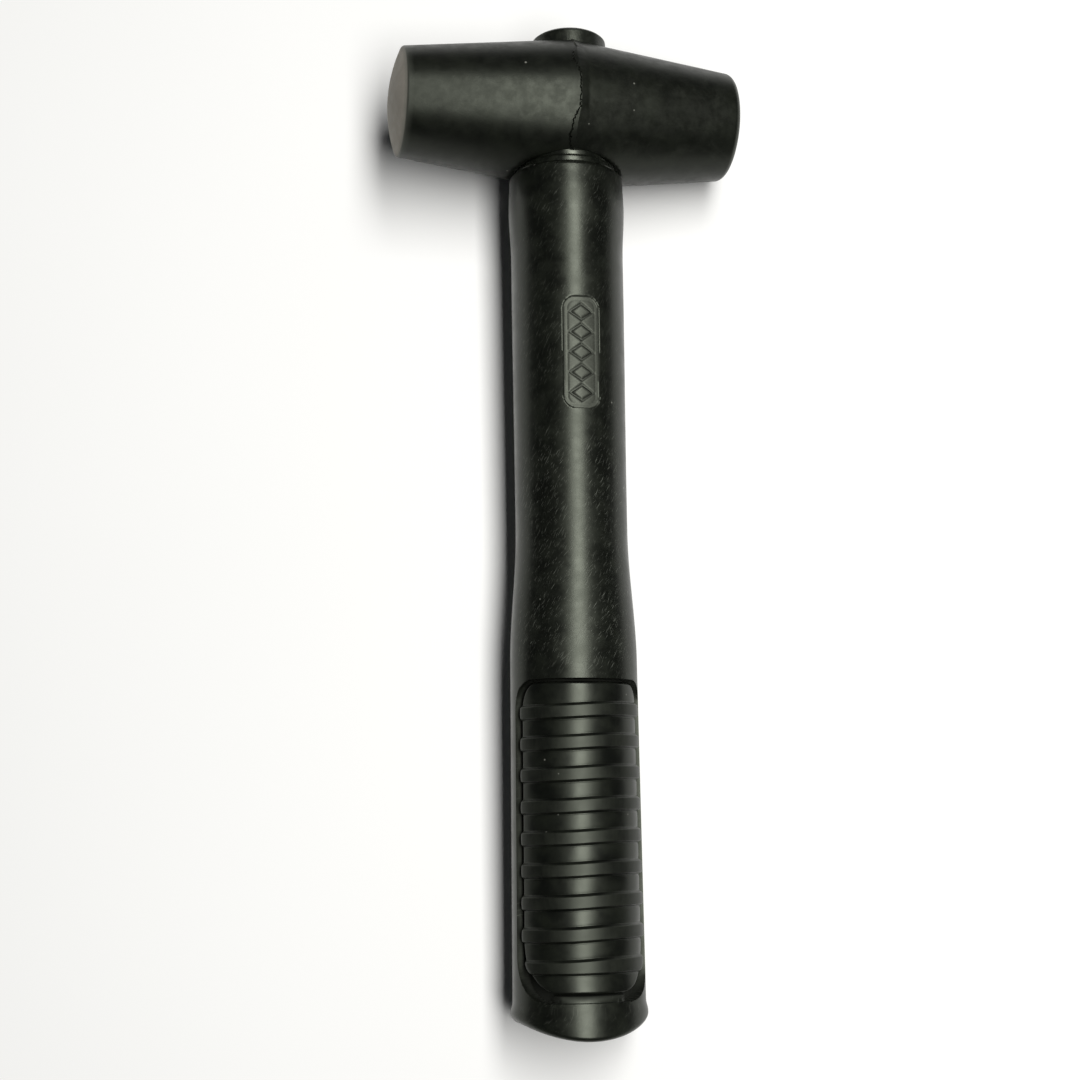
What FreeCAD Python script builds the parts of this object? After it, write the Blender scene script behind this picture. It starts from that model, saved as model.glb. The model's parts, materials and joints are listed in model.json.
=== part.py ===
import FreeCAD, Part
import math
import os

# Rubber mallet: a double-cone rubber head bolted on a steel-cored, jacketed handle.
# Every piece is modelled in the mallet's own axes, in millimetres: X along the head, from one
# striking face to the other, Z up the handle, with the head's centre at the origin, and Y from
# the label side to the back. The last step lays the whole mallet down at rest on its back.
# "Below" means the distance down the handle from the head's centre.

# Head
head_half_length = 49.9     # centre to the rim of a striking face
head_ridge_radius = 22.3    # the widest circle, at the moulding seam
head_end_radius = 16.0      # rim of a striking face
face_crown = 3.2            # how far a striking face bulges past its rim
rim_rounding_high = 0.9     # the face that is up when the mallet lies at rest
rim_rounding_low = 2.4      # the face that is down
seam_width = 1.4
seam_height = 0.35

# Handle core, and the bush that lines the head's eye
core_radius = 8.0
core_wall = 2.0
core_cover = 17.2           # end of the core to the end of the butt
bush_wall = 1.5
bush_flange_thickness = 2.7
flange_clearance = 0.2
seat_inset = 6.8            # the bush flange's seat is this far inside the ridge
saddle_inset = 5.85         # so is the top of the arch that clears the jacket, under the head
saddle_radius = 44.6        # the arch's radius; its axis runs from front to back

# Ring between the bush flange and the jacket
seat_ring_thickness = 2.2
seat_ring_step = 0.9        # the ring is smaller than the jacket's rim by this much
bush_flange_step = 1.1      # the bush flange is smaller than the ring by this much

# Fastening on top of the head
cap_inset = 8.3             # the top recess's floor is this far inside the ridge
washer_land = 0.7           # the washer reaches this far past the bush, onto the head
washer_thickness = 1.6
spring_washer_thickness = 2.0
spring_washer_radius = 7.05
spring_washer_gap = 1.5
screw_radius = 4.0
screw_length = 24.0
screw_head_flats = 13.0
screw_head_height = 5.3
screw_washer_clearance = 0.2
top_plug_length = 26.0

# Cap over the screw
cap_radius = 11.2
cap_offset = 1.5            # the cap's centre is this far from the screw's, towards the low face
cap_flat_radius = 4.0       # flat middle of its domed top
cap_dome = 2.6              # height of the dome
cap_crown = 1.6             # thickness of its top
cap_headroom = 0.4          # between the screw head and the inside of the cap
cap_side_gap = 0.3          # between the screw head's corners and the cap
cap_clearance = 0.1

# Plug in the lower end of the core
butt_plug_length = 15.0
butt_plug_flange = 1.5

# Jacket: half widths (X) and half depths (Y) of its oval sections
handle_length = 267.2       # centre of the head to the end of the butt
butt_end_length = 6.6       # the butt's widest section to its end
butt_arch_radius = 37.7     # its end is arched from side to side
butt_flare = 3.1            # length over which the grip widens to the butt
swell_length = 37.0         # from the waist to the grip
collar_drop = 10.0          # jacket's top to its collar bulge
neck_drop = 25.4            # jacket's top to the neck
rim_half_width, rim_half_depth = 16.8, 16.1
collar_half_width, collar_half_depth = 17.1, 16.9
neck_half_width, neck_half_depth = 16.5, 16.2
waist_half_width, waist_half_depth = 16.15, 14.9
grip_half_width, grip_half_depth = 18.15, 15.2
grip_end_half_width, grip_end_half_depth = 18.55, 15.5
butt_half_width, butt_half_depth = 19.1, 16.0

# Recess for the label, on the front
label_length = 33.0
label_width = 10.8
label_corner = 3.8
label_depth = 0.45
label_drop = 31.8           # from the neck's section to the label's middle

# Ribbed grip inserts, front and back
insert_thickness = 3.0
insert_side_inset = 0.25    # the insert's panel is this much narrower than the grip on each side
insert_side_line = 4.4      # the insert's side edge stands this far from the handle's mid plane
insert_top_corner = 6.5
insert_bottom_corner = 11.0
insert_drop = 6.5           # start of the grip to the insert's top
insert_tail = 5.6           # the insert's bottom to the butt's widest section
groove_side = 1.2           # open gap between an insert and the jacket
groove_top = 0.8
groove_bottom = 2.3
groove_corner_ease = 1.5    # the bottom corners' gap is wider, because the recess is less rounded
rib_count = 9
rib_pitch = 8.6
rib_band = 3.5
rib_height = 0.9
first_rib_drop = 8.0        # the insert's top to the middle of the first rib
last_rib_drop = 7.2         # the middle of the last rib to the insert's bottom

# Distances below the head's centre
seat_depth = head_ridge_radius - seat_inset
jacket_top = seat_depth + bush_flange_thickness + seat_ring_thickness
neck = jacket_top + neck_drop
label_centre = neck + label_drop
insert_length = first_rib_drop + (rib_count - 1) * rib_pitch + last_rib_drop
butt_section = handle_length - butt_end_length
grip_end = butt_section - butt_flare
insert_top = butt_section - insert_tail - insert_length
grip_start = insert_top - insert_drop
waist = grip_start - swell_length
core_end = handle_length - core_cover

# Heights above the head's centre
cap_floor = head_ridge_radius - cap_inset
washer_top = cap_floor + washer_thickness
screw_seat = washer_top + spring_washer_thickness
cap_inside = screw_seat + screw_head_height + cap_headroom
cap_top = cap_inside + cap_crown

# Radii
core_bore = core_radius - core_wall
bush_radius = core_radius + bush_wall
seat_ring_radius = rim_half_depth - seat_ring_step
bush_flange_radius = seat_ring_radius - bush_flange_step
washer_radius = bush_radius + washer_land
screw_head_corner = screw_head_flats / math.sqrt(3)


def mix(low, high, share):
    return low + (high - low) * share


def upper_sections():
    """(below, half width, half depth) from the jacket's top, past the waist, to the grip."""
    sections = [
        (jacket_top, rim_half_width, rim_half_depth),
        (jacket_top + collar_drop, collar_half_width, collar_half_depth),
        (neck, neck_half_width, neck_half_depth),
        (mix(neck, waist, 0.5), mix(neck_half_width, waist_half_width, 0.35),
         mix(neck_half_depth, waist_half_depth, 0.4)),
        (waist, waist_half_width, waist_half_depth),
    ]
    for along, share in [(0.25, 0.16), (0.5, 0.55), (0.75, 0.88), (1.0, 1.0)]:
        sections.append((mix(waist, grip_start, along),
                         mix(waist_half_width, grip_half_width, share),
                         mix(waist_half_depth, grip_half_depth, share)))
    return sections


def grip_section(below):
    """The grip's section at one distance: it widens evenly from the swell to the butt's flare."""
    along = (below - grip_start) / (grip_end - grip_start)
    return (below, mix(grip_half_width, grip_end_half_width, along),
            mix(grip_half_depth, grip_end_half_depth, along))


def cylinder(radius, low, high):
    """Round bar along the handle between two heights."""
    return Part.makeCylinder(radius, high - low, FreeCAD.Vector(0, 0, low))


def tube(outer, inner, low, high):
    return cylinder(outer, low, high).cut(cylinder(inner, low, high))


def oval_wire(below, half_width, half_depth):
    stretch = FreeCAD.Matrix()
    stretch.scale(half_width, half_depth, 1.0)
    stretch.move(FreeCAD.Vector(0, 0, -below))
    circle = Part.makeCircle(1.0)
    return Part.Wire(circle.transformGeometry(stretch).Edges)


def loft(sections, inset):
    wires = [oval_wire(below, width - inset, depth - inset) for below, width, depth in sections]
    return Part.makeLoft(wires, True, len(wires) == 2)


def grip_body(inset):
    """The grip's outer shape, shrunk by inset all round."""
    return loft([grip_section(grip_start), grip_section(grip_end)], inset)


def butt_end():
    """Stub of the handle whose end is arched from side to side."""
    stub = loft([(butt_section, butt_half_width, butt_half_depth),
                 (handle_length, butt_half_width, butt_half_depth)], 0)
    reach = 2 * butt_half_depth
    arch = Part.makeCylinder(butt_arch_radius, 2 * reach,
                             FreeCAD.Vector(0, -reach, butt_arch_radius - handle_length),
                             FreeCAD.Vector(0, 1, 0))
    return stub.common(arch)


def rounded_panel(half_width, top, bottom, corners, near, far):
    """Panel facing -Y, between two distances in front of the mid plane; corners: top, bottom."""
    box = Part.makeBox(2 * half_width, far - near, bottom - top,
                       FreeCAD.Vector(-half_width, -far, -bottom))
    for corner, below in zip(corners, (top, bottom)):
        edges = [edge for edge in box.Edges
                 if edge.BoundBox.XLength < 1e-6 and edge.BoundBox.ZLength < 1e-6
                 and abs(edge.BoundBox.Center.z + below) < 1e-6
                 and abs(abs(edge.BoundBox.Center.x) - half_width) < 1e-6]
        box = box.makeFillet(corner, edges)
    return box


def back_copy(shape):
    """The same shape on the other side of the handle, turned about the handle's axis."""
    copy = shape.copy()
    copy.rotate(FreeCAD.Vector(), FreeCAD.Vector(0, 0, 1), 180)
    return copy


def head_profile():
    end = head_half_length
    seam_foot = head_ridge_radius - seam_height
    upper = [(-end, head_end_radius), (-seam_width / 2, seam_foot), (-seam_width / 4, head_ridge_radius),
             (seam_width / 4, head_ridge_radius), (seam_width / 2, seam_foot), (end, head_end_radius)]
    points = [FreeCAD.Vector(x, 0, r) for x, r in upper]
    edges = [Part.LineSegment(a, b).toShape() for a, b in zip(points, points[1:])]
    crown_radius = (head_end_radius ** 2 + face_crown ** 2) / (2 * face_crown)
    half_turn = math.asin(head_end_radius / crown_radius) / 2
    middle_x = end + face_crown - crown_radius * (1 - math.cos(half_turn))
    middle_r = crown_radius * math.sin(half_turn)
    tips = []
    for side, rim in ((1, points[-1]), (-1, points[0])):
        tip = FreeCAD.Vector(side * (end + face_crown), 0, 0)
        middle = FreeCAD.Vector(side * middle_x, 0, middle_r)
        edges.append(Part.Arc(rim, middle, tip).toShape())
        tips.append(tip)
    edges.append(Part.LineSegment(tips[0], tips[1]).toShape())
    return Part.Face(Part.Wire(Part.__sortEdges__(edges)))


def head_block():
    solid = head_profile().revolve(FreeCAD.Vector(), FreeCAD.Vector(1, 0, 0), 360)
    for side, rounding in ((-1, rim_rounding_high), (1, rim_rounding_low)):
        rims = [edge for edge in solid.Edges
                if abs(edge.Length - 2 * math.pi * head_end_radius) < 0.01
                and abs(edge.BoundBox.Center.x - side * head_half_length) < 0.01]
        solid = solid.makeFillet(rounding, rims)
    reach = 2 * head_ridge_radius
    eye = cylinder(bush_radius, -reach, reach)
    flange_seat = cylinder(bush_flange_radius + flange_clearance, -reach, -seat_depth)
    ring_seat = cylinder(seat_ring_radius + flange_clearance, -reach,
                         -seat_depth - bush_flange_thickness)
    saddle_axis = -(head_ridge_radius - saddle_inset + saddle_radius)
    saddle = Part.makeCylinder(saddle_radius, 2 * reach, FreeCAD.Vector(0, -reach, saddle_axis),
                               FreeCAD.Vector(0, 1, 0))
    washer_recess = cylinder(washer_radius + cap_clearance, cap_floor, washer_top)
    cap_recess = cylinder(cap_radius + cap_clearance, washer_top, reach)
    cap_recess.translate(FreeCAD.Vector(cap_offset, 0, 0))
    for cutter in (eye, flange_seat, ring_seat, saddle, washer_recess, cap_recess):
        solid = solid.cut(cutter)
    return solid


def eye_bush():
    sleeve = tube(bush_radius, core_radius, -seat_depth, cap_floor)
    bottom = -seat_depth - bush_flange_thickness
    flange = tube(bush_flange_radius, core_radius, bottom, -seat_depth)
    return sleeve.fuse(flange).removeSplitter()


def seat_ring():
    top = -seat_depth - bush_flange_thickness
    ring = tube(seat_ring_radius, core_radius, -jacket_top, top)
    rims = [edge for edge in ring.Edges
            if abs(edge.Length - 2 * math.pi * seat_ring_radius) < 0.01]
    return ring.makeFillet(0.3 * seat_ring_thickness, rims)


def handle_core():
    return tube(core_radius, core_bore, -core_end, cap_floor)


def core_top_plug():
    return tube(core_bore, screw_radius, cap_floor - top_plug_length, cap_floor)


def core_butt_plug():
    plug = cylinder(core_bore, -core_end, -core_end + butt_plug_length)
    flange = cylinder(core_radius, -core_end - butt_plug_flange, -core_end)
    return plug.fuse(flange).removeSplitter()


def retaining_washer():
    return tube(washer_radius, screw_radius + screw_washer_clearance, cap_floor, washer_top)


def spring_washer():
    ring = tube(spring_washer_radius, screw_radius + screw_washer_clearance, washer_top, screw_seat)
    split = Part.makeBox(spring_washer_radius, spring_washer_gap, spring_washer_thickness,
                         FreeCAD.Vector(0, -spring_washer_gap / 2, washer_top))
    return ring.cut(split)


def retaining_screw():
    shank = cylinder(screw_radius, screw_seat - screw_length, screw_seat)
    corners = [FreeCAD.Vector(screw_head_corner * math.cos(math.radians(60 * i)),
                              screw_head_corner * math.sin(math.radians(60 * i)), screw_seat)
               for i in range(7)]
    hexagon = Part.Face(Part.makePolygon(corners))
    head = hexagon.extrude(FreeCAD.Vector(0, 0, screw_head_height))
    return shank.fuse(head)


def top_cap():
    """Domed plug whose hollow clears the screw head."""
    shoulder = cap_radius - cap_flat_radius
    low, high = cap_top - cap_dome, cap_top
    arc = [FreeCAD.Vector(cap_radius, 0, low),
           FreeCAD.Vector(cap_radius - 0.35 * shoulder, 0, mix(low, high, 0.65)),
           FreeCAD.Vector(cap_flat_radius, 0, high)]
    centre_line = [FreeCAD.Vector(0, 0, cap_top), FreeCAD.Vector(0, 0, washer_top)]
    corner = FreeCAD.Vector(cap_radius, 0, washer_top)
    edges = [Part.Arc(*arc).toShape(), Part.makeLine(arc[2], centre_line[0]),
             Part.makeLine(*centre_line), Part.makeLine(centre_line[1], corner),
             Part.makeLine(corner, arc[0])]
    plug = Part.Face(Part.Wire(edges)).revolve(FreeCAD.Vector(), FreeCAD.Vector(0, 0, 1), 360)
    plug.translate(FreeCAD.Vector(cap_offset, 0, 0))
    return plug.cut(cylinder(screw_head_corner + cap_side_gap, washer_top, cap_inside))


def insert_panel(grow_side, grow_top, grow_bottom):
    """Space of a grip insert in front of the handle, grown for the groove round it."""
    half_width = grip_half_width - insert_side_inset + grow_side
    ease = groove_corner_ease if grow_bottom else 0
    corners = (insert_top_corner + grow_side, insert_bottom_corner + grow_side - ease)
    return rounded_panel(half_width, insert_top - grow_top, insert_top + insert_length + grow_bottom,
                         corners, insert_side_line - grow_side, 2 * grip_half_depth)


def insert_arc(below, inset, backward):
    """Arc of the grip's section in front of the insert's side line."""
    _, width, depth = grip_section(below)
    start = math.degrees(math.asin(insert_side_line / (depth - inset)))
    arc = Part.makeCircle(1.0, FreeCAD.Vector(), FreeCAD.Vector(0, 0, 1), 180 + start, 360 - start)
    stretch = FreeCAD.Matrix()
    stretch.scale(width - inset, depth - inset, 1.0)
    stretch.move(FreeCAD.Vector(0, 0, -below))
    edge = arc.transformGeometry(stretch).Edges[0]
    return edge.reversed() if backward else edge


def insert_slice(top, bottom, inset):
    """Stretch of the insert, from its floor to the grip's surface less inset."""
    wires = []
    for below in (top, bottom):
        outer = insert_arc(below, inset, False)
        inner = insert_arc(below, insert_thickness, True)
        sides = [Part.makeLine(outer.lastVertex(True).Point, inner.firstVertex(True).Point),
                 Part.makeLine(inner.lastVertex(True).Point, outer.firstVertex(True).Point)]
        wires.append(Part.Wire([outer, sides[0], inner, sides[1]]))
    return Part.makeLoft(wires, True, True)


def grip_insert():
    first = insert_top + first_rib_drop
    stops = [insert_top]
    for i in range(rib_count):
        centre = first + i * rib_pitch
        stops += [centre - rib_band / 2, centre + rib_band / 2]
    stops.append(insert_top + insert_length)
    slices = [insert_slice(top, bottom, 0 if i % 2 else rib_height)
              for i, (top, bottom) in enumerate(zip(stops, stops[1:]))]
    return slices[0].multiFuse(slices[1:]).common(insert_panel(0, 0, 0))


def label_recess():
    reach = 2 * neck_half_depth
    panel = rounded_panel(label_width / 2, label_centre - label_length / 2,
                          label_centre + label_length / 2, (label_corner, label_corner), 0, reach)
    return panel.cut(loft(upper_sections(), label_depth))


def handle_jacket():
    recess = insert_panel(groove_side, groove_top, groove_bottom).cut(grip_body(insert_thickness))
    upper = loft(upper_sections(), 0).cut(label_recess())
    grip = grip_body(0).cut(recess).cut(back_copy(recess))
    flare = loft([grip_section(grip_end), (butt_section, butt_half_width, butt_half_depth)], 0)
    jacket = upper.multiFuse([grip, flare, butt_end()])
    return jacket.cut(cylinder(core_radius, -core_end - butt_plug_flange, -jacket_top))


def rest_angles():
    """Roll onto one cone of the head, and the pitch that brings the butt down to the same floor."""
    roll = math.atan2(head_ridge_radius - head_end_radius, head_half_length)
    butt_reach = math.hypot(butt_half_width * math.sin(roll), butt_half_depth * math.cos(roll))
    pitch = 0.0
    for _ in range(8):
        drop = head_ridge_radius * math.cos(roll) - butt_reach * math.cos(pitch)
        pitch = math.asin(drop / handle_length)
    return math.degrees(roll), math.degrees(pitch)


def lay_down(shapes):
    """+X to the face that is down, +Y up the handle, +Z up, with the floor at zero."""
    roll, pitch = rest_angles()
    turn = FreeCAD.Rotation(FreeCAD.Vector(1, 0, 0), pitch)
    turn = turn.multiply(FreeCAD.Rotation(FreeCAD.Vector(0, 1, 0), roll))
    turn = turn.multiply(FreeCAD.Rotation(FreeCAD.Vector(1, 0, 0), -90))
    placed = {}
    for name, shape in shapes.items():
        copy = shape.copy()
        copy.Placement = FreeCAD.Placement(FreeCAD.Vector(), turn).multiply(shape.Placement)
        placed[name] = copy
    whole = Part.makeCompound(list(placed.values())).optimalBoundingBox(False, False)
    centre = whole.Center
    shift = FreeCAD.Vector(-centre.x, -centre.y, -whole.ZMin)
    for shape in placed.values():
        shape.translate(shift)
    print("roll and pitch at rest:", round(roll, 3), round(pitch, 3))
    print("head centre:", [round(value, 3) for value in shift])
    print("size:", round(whole.XLength, 2), round(whole.YLength, 2), round(whole.ZLength, 2))
    return placed


def main():
    insert = grip_insert()
    shapes = {
        "head_block": head_block(),
        "eye_bush": eye_bush(),
        "seat_ring": seat_ring(),
        "handle_core": handle_core(),
        "core_top_plug": core_top_plug(),
        "core_butt_plug": core_butt_plug(),
        "retaining_washer": retaining_washer(),
        "spring_washer": spring_washer(),
        "retaining_screw": retaining_screw(),
        "top_cap": top_cap(),
        "handle_jacket": handle_jacket(),
        "grip_insert_front": insert,
        "grip_insert_back": back_copy(insert),
    }
    os.makedirs("parts", exist_ok=True)
    for name, shape in lay_down(shapes).items():
        print(name, "solids", len(shape.Solids), "valid", shape.isValid(), "volume", round(shape.Volume, 1))
        shape.exportStep("parts/" + name + ".step")


main()
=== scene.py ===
import json
import math

import bpy
import numpy as np
from mathutils import Matrix, Vector, noise


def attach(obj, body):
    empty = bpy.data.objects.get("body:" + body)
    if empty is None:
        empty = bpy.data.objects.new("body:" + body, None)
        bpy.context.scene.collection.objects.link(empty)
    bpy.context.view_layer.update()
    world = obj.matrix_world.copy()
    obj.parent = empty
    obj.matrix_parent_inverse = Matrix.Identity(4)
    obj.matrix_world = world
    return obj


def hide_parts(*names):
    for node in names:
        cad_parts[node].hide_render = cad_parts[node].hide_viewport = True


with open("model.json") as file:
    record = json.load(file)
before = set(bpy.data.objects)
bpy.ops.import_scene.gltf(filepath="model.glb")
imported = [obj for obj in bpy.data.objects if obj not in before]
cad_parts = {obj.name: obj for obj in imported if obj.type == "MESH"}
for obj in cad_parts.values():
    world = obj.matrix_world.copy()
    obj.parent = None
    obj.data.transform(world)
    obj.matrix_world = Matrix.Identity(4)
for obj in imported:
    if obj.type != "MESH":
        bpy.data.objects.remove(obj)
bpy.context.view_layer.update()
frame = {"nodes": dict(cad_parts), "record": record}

# A rubber mallet lying at rest on a pale floor. Pieces are modelled in the mallet's own axes, in
# millimetres: X along the head, Y to the back, Z up the handle, with the head's centre at the
# origin. to_row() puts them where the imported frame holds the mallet. "Below" is the distance down
# the handle from the head's centre.

MM = 0.001

# Head
HEAD_HALF_LENGTH = 49.88    # from the seam to a face's rim; the crown stands past it
HEAD_RIDGE = 22.3
HEAD_END = 16.0
FACE_CROWN = 3.2
RIM_ROUNDING = {-1: 0.9, 1: 2.4}    # high end, low end
SEAM_HEIGHT = 0.35
SEAM_LEFT = -0.4            # the flash's ragged edge lies here, and further left where it is torn
SEAM_RIGHT = 2.1
SEAM_ROWS = 3.2             # rings this near the seam follow the flash
SEAM_TEARS = (3.4, 0.5, 0.3)    # reach of its long, short and finest tears
RING_CLEARANCE = 0.2
EYE_RADIUS = 9.5
SEAT_DEPTH = 15.5
FLANGE_SEAT_RADIUS = 14.3
SADDLE_TOP = 16.45
SADDLE_RADIUS = 44.6
WASHER_FLOOR = 14.0
WASHER_RECESS_RADIUS = 10.3
CAP_CLEARANCE = 0.1

# Bush flange and seat ring, below the head: top, bottom, radius
FLANGE = (15.5, 18.2, 14.1)
RING = (18.2, 20.4, 15.2)
BUSH_SLEEVE = 9.5

# Cap
CAP_RADIUS = 11.2
CAP_OFFSET = 1.5
CAP_FLAT_RADIUS = 4.0
CAP_DOME = 2.6
CAP_TOP = 24.9
DOME_POWER = 1.24           # 1 is an elliptical shoulder; more is flatter
CAP_FLOOR = 15.6
CAP_INSIDE = 23.3
CAP_HOLLOW_RADIUS = 7.8

# Handle jacket: (below, half width, half depth)
CORE_RADIUS = 8.0
CORE_CAVITY_END = 251.5
RIM_SECTION = (20.4, 16.8, 16.1)
COLLAR_SECTION = (30.4, 17.1, 16.9)
NECK_SECTION = (45.8, 16.5, 16.2)
WAIST_SECTION = (127.5, 16.15, 14.9)
GRIP_SECTION = (164.5, 18.15, 15.2)
GRIP_END_SECTION = (257.5, 18.55, 15.5)
BUTT_SECTION = (260.6, 19.1, 16.0)
BUTT_END = 267.2
BUTT_ARCH_RADIUS = 37.7
BUTT_ROUNDING = 1.4
JACKET_WALL_END = 258.4     # the flare below it is made with the butt's end
RIM_EDGE = 1.3

# Label recess
LABEL_CENTRE = 77.6
LABEL_LENGTH = 33.0
LABEL_WIDTH = 10.8
LABEL_CORNER = 3.8
LABEL_DEPTH = 0.45
MARK_COUNT = 5              # a row of plain lozenges
MARK_PITCH = 5.9
MARK_HALF_WIDTH = 3.4
MARK_HALF_HEIGHT = 2.3
MARK_LINE = 0.42
MARK_CUT = 0.32

# Grip inserts. Distances round the handle are angles times SURFACE_RADIUS.
SURFACE_RADIUS = 16.9
RECESS_WALL = 0.22          # width of a recess's steep side, seen from outside
INSERT_TOP = 171.0
INSERT_BOTTOM = 255.0
INSERT_THICKNESS = 3.0
INSERT_SIDE_LINE = 4.4
INSERT_CORNERS = (7.0, 14.5)
RECESS_CORNERS = (8.0, 12.5)
GROOVE_SIDE = 1.2
GROOVE_TOP = 0.8
GROOVE_BOTTOM = 2.3
SIDE_WAVE = 0.7             # how far a rib's end stands past the valleys' edge
RIB_SLANT = 0.42            # how far a rib's two ends lie below and above its middle
RIB_SLANT_REACH = 7.0       # most of the slant lies this near the middle
RIB_COUNT = 9
RIB_PITCH = 8.6
RIB_BAND = 3.5
RIB_HEIGHT = 0.9
FIRST_RIB = 179.0
INSERT_EDGE = 1.0           # rounding of an insert's edges
INSERT_PILLOW = 0.07        # how far the valleys bulge between the ribs
INSERT_LOW_RISE = 0.6       # how far the lowest valley rises towards the insert's end
INSERT_LOW_RUN = (250.3, 254.6)     # where it does
SHALLOW_MIDDLE = (8.0, 12.5)        # the recess below an insert is shallow this near its middle
SHALLOW_DEPTH = 0.30
SHALLOW_FALL = 0.25                 # depth that it gains per mm above its lower end
HANDLED_TOP = (84, 112)             # wear from handling fades in here
HANDLED_END = 160                   # and fades out from here to the inserts
BUTT_RING_SCALES = (0.93, 0.85, 0.7, 0.5, 0.3, 0.1)

# Camera, in the mallet's axes
CAMERA_DISTANCE = 519.9     # to the plane through the head's centre
CAMERA_ACROSS = -7.33       # the camera's line of sight passes this far right of the head's centre
CAMERA_DOWN = 127.39        # and this far below it
CAMERA_YAW = 13.16
CAMERA_PITCH = -9.68
CAMERA_ROLL = -0.79
SENSOR = 36.0
LENS = 57.77

# Light, in the row frame, in metres: one long soft box overhead
LIGHT_PLACE = Vector((0.18, 0.08, 1.0))
LIGHT_SIZE = (0.32, 1.35)
LIGHT_WATTS = 17
LIGHT_COLOUR = (1, 0.995, 0.97)
ROOM_COLOUR = (0.9, 0.95, 1.0, 1)
ROOM_STRENGTH = 0.03
FLOOR_HALF = 1.6


def mallet_axes():
    """The head's centre and the mallet's X, Y and Z in the row frame, from the frame's mounts."""
    mounts = {mount["name"]: mount for mount in frame["record"]["mounts"]}
    low, high = mounts["striking_face_low"], mounts["striking_face_high"]
    centre = (Vector(low["pos_m"]) + Vector(high["pos_m"])) / 2
    along_head = Vector(low["axis"]).normalized()
    up_handle = Vector(mounts["neck_rest"]["axis"]).normalized()
    back = up_handle.cross(along_head)
    return centre, Matrix((along_head, back, up_handle)).transposed()


CENTRE, AXES = mallet_axes()


def to_row(points):
    turn = np.array(AXES)
    return np.asarray(points, float).reshape(-1, 3) @ turn.T * MM + np.array(CENTRE)


def smooth(value, low, high):
    """0 below low, 1 above high, with a soft step between."""
    t = np.clip((value - low) / (high - low), 0, 1)
    return t * t * (3 - 2 * t)


def spans(*stretches):
    """Positions along a line: (start, end, spacing) stretches joined."""
    values = []
    for start, end, spacing in stretches:
        count = max(1, round(abs(end - start) / spacing))
        values.append(np.linspace(start, end, count, endpoint=False))
    values.append(np.array([stretches[-1][1]]))
    return np.concatenate(values)


def new_piece(name, points, faces, corner_uv=None, sharp_angle=38):
    """A mesh object from points in the mallet's axes, with its surface distances as a UV map."""
    mesh = bpy.data.meshes.new(name)
    mesh.from_pydata(to_row(points).tolist(), [], faces)
    if corner_uv is not None:
        layer = mesh.uv_layers.new(name="surface")
        layer.data.foreach_set("uv", np.asarray(corner_uv, np.float32).ravel())
    mesh.validate()
    mesh.update()
    mesh.shade_smooth()
    mesh.set_sharp_from_angle(angle=math.radians(sharp_angle))
    piece = bpy.data.objects.new(name, mesh)
    bpy.context.scene.collection.objects.link(piece)
    return piece


def lathe(rings, surface):
    """Quads round closed rings, with the two ends closed by fans, and their UV corners."""
    rows, columns, _ = rings.shape
    points = rings.reshape(-1, 3)
    first, last = points[:columns].mean(0), points[-columns:].mean(0)
    points = np.vstack([points, first, last])
    faces, corners = [], []
    u, v = surface
    for i in range(rows - 1):
        for j in range(columns):
            k = (j + 1) % columns
            faces.append((i * columns + j, (i + 1) * columns + j, (i + 1) * columns + k, i * columns + k))
            corners += [(u[j], v[i]), (u[j], v[i + 1]), (u[j + 1], v[i + 1]), (u[j + 1], v[i])]
    start, end = rows * columns, rows * columns + 1
    base = (rows - 1) * columns
    for j in range(columns):
        k = (j + 1) % columns
        faces.append((start, j, k))
        corners += [(u[j], v[0]), (u[j], v[0]), (u[j + 1], v[0])]
        faces.append((end, base + k, base + j))
        corners += [(u[j], v[-1]), (u[j + 1], v[-1]), (u[j], v[-1])]
    return points, faces, corners


def mallet_points(piece):
    """A piece's points in the mallet's axes, in millimetres."""
    points = np.empty(3 * len(piece.data.vertices))
    piece.data.vertices.foreach_get("co", points)
    return (points.reshape(-1, 3) - np.array(CENTRE)) @ np.array(AXES) / MM


def add_mask(piece, name, values):
    """Stores a value from 0 to 1 on each point of a piece, for its material to read."""
    layer = piece.data.attributes.new(name, "FLOAT", "POINT")
    layer.data.foreach_set("value", np.asarray(values, np.float32))


def ring_points(profile, angles, axis):
    """Rings of a profile of (position, radius) turned about X or Z."""
    along, radius = np.array(profile).T
    a, c, s = along[:, None], np.cos(angles)[None, :], np.sin(angles)[None, :]
    r = radius[:, None]
    ones = np.ones_like(c)
    if axis == "X":
        return np.stack([a * ones, -r * c, r * s], 2)
    return np.stack([r * s, -r * c, a * ones], 2)


# ---------------------------------------------------------------- head

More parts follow.
